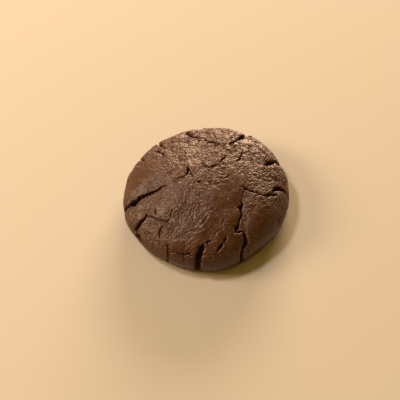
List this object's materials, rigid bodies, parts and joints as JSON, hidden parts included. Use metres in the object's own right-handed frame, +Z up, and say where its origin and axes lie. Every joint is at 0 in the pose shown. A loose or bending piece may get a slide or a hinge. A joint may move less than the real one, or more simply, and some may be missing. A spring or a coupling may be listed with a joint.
{
  "type": "chocolate cookie",
  "caption": "Round domed chocolate cookie with a crackled crust, deep fissures round its rim and a flat base.",
  "frame": {"origin": "middle of the flat base, at the level of the surface it rests on", "axes": "+Z up out of the dome, +X to the viewer's right, -Y towards the viewer of the picture"},
  "size_m": [0.0705, 0.0686, 0.0211],
  "materials": {
    "crust": "dry baked cocoa crust, slightly satin on its smooth plates"
  },
  "bodies": {
    "root": {"cookie": "crust"}
  },
  "joints": []
}
